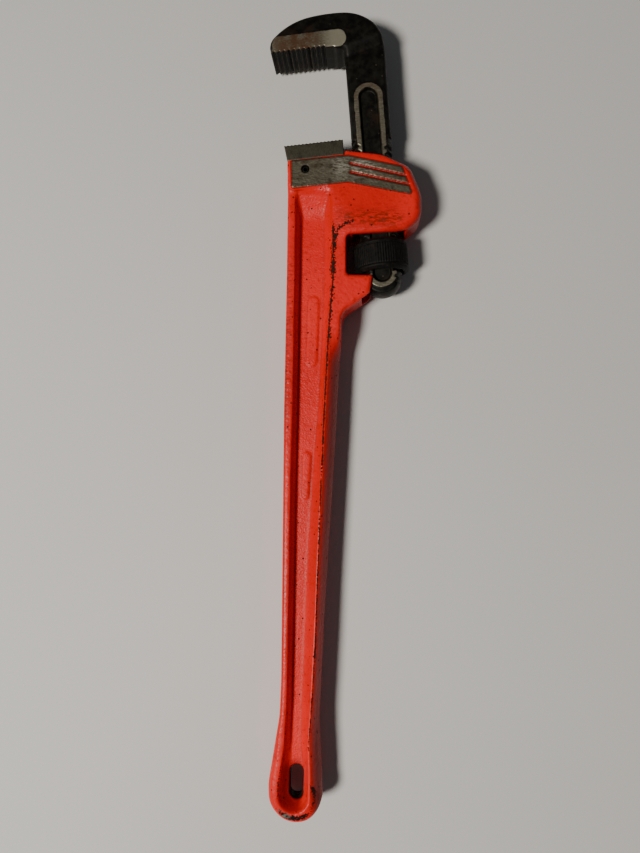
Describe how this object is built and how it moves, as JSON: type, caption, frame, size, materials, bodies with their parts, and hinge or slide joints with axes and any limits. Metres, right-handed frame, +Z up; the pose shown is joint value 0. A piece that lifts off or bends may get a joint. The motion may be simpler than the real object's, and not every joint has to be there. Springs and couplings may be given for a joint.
{
  "type": "straight pipe wrench",
  "caption": "Heavy straight-pattern pipe wrench lying on its side: I-beam handle with hanging slot, sliding hook jaw run by a knurled nut, and a fixed heel jaw with teeth.",
  "frame": {"origin": "bottom centre of the bounding box, in the plane the wrench lies on, under the knurled nut's lowest line in height", "axes": "+Y from the handle's tail towards the jaws, +Z up out of the wrench's flat side, +X towards the back of the hook jaw"},
  "size_m": [0.116, 0.5926, 0.0404],
  "materials": {
    "red_enamel": "glossy orange-red enamel on a rough casting, chipped along the edges",
    "ground_steel": "ground grey steel, fine grinding marks",
    "pin_steel": "dark oxidised steel",
    "black_oxide": "black oxide forging with bare ground lands and slight rust",
    "nut_black_oxide": "black oxide, satin, knurled",
    "spring_steel": "blued spring steel"
  },
  "bodies": {
    "handle": {"handle": "red_enamel", "heel_jaw": "ground_steel", "heel_jaw_pin": "pin_steel"},
    "spring_carrier": {"flat_spring": "spring_steel", "spring_rivet": "spring_steel", "coil_spring": "spring_steel"},
    "hook": {"hook_jaw": "black_oxide"},
    "nut": {"adjusting_nut": "nut_black_oxide"}
  },
  "joints": [
    {"name": "jaw_rock", "type": "hinge", "parent": "handle", "child": "spring_carrier", "pos_m": [0.00985, 0.10062, 0.0202], "axis": [0, 0, 1], "range_deg": [-1, 2], "stiffness_Nm_per_rad": 60, "deforming": ["coil_spring"]},
    {"name": "jaw_slide", "type": "slide", "parent": "spring_carrier", "child": "hook", "axis": [-0.1045, 0.9945, 0], "range_m": [-0.0677, 0.008]},
    {"name": "nut_spin", "type": "hinge", "parent": "spring_carrier", "child": "nut", "pos_m": [0.02822, 0.11914, 0.0202], "axis": [-0.1045, 0.9945, 0], "range_deg": [-577, 4876]}
  ],
  "couplings": [
    {"joint": "nut_spin", "follows": "jaw_slide", "rad_per_m": -1256.6}
  ]
}
